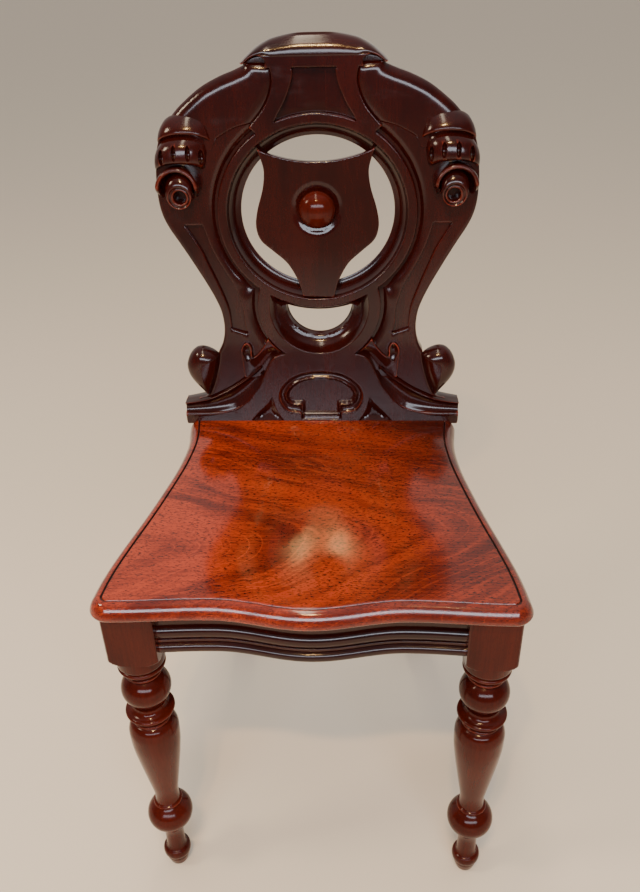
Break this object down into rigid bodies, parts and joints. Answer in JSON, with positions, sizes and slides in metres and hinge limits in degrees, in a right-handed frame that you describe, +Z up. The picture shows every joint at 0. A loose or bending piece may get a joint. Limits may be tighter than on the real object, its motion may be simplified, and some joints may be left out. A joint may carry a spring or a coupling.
{
  "type": "hall chair",
  "caption": "Victorian carved hall chair: moulded serpentine seat on turned front legs and swept rear legs, with a pierced, carved back holding a shield.",
  "frame": {"origin": "on the floor, midway between the foremost point of the seat and the rear feet, on the chair's middle line", "axes": "+Z up, +X to the right seen from the front, the front of the chair faces -Y"},
  "size_m": [0.414, 0.428, 0.8745],
  "materials": {
    "polished_mahogany": "French polished, deep red-brown, worn to orange on the arrises",
    "seat_mahogany": "French polished, warm red-orange with a flame figure and dark pores",
    "corner_timber": "bare planed beech, darkened with age",
    "dowel_timber": "bare turned beech",
    "screw_steel": "plain steel, dulled"
  },
  "bodies": {
    "root": {"seat_board": "seat_mahogany", "front_rail": "polished_mahogany", "left_side_rail": "polished_mahogany", "right_side_rail": "polished_mahogany", "rear_rail": "polished_mahogany", "left_front_leg": "polished_mahogany", "right_front_leg": "polished_mahogany", "left_rear_leg": "polished_mahogany", "right_rear_leg": "polished_mahogany", "back_panel": "polished_mahogany", "crest_rail": "polished_mahogany", "shield": "polished_mahogany", "shield_boss": "polished_mahogany", "left_scroll": "polished_mahogany", "right_scroll": "polished_mahogany", "left_ear": "polished_mahogany", "right_ear": "polished_mahogany", "front_left_corner_block": "corner_timber", "front_right_corner_block": "corner_timber", "rear_left_corner_block": "corner_timber", "rear_right_corner_block": "corner_timber", "corner_block_screws": "screw_steel", "seat_screws": "screw_steel", "back_screws": "screw_steel", "shield_screws": "screw_steel", "crest_dowels": "dowel_timber", "scroll_dowels": "dowel_timber", "ear_dowels": "dowel_timber"}
  },
  "joints": []
}
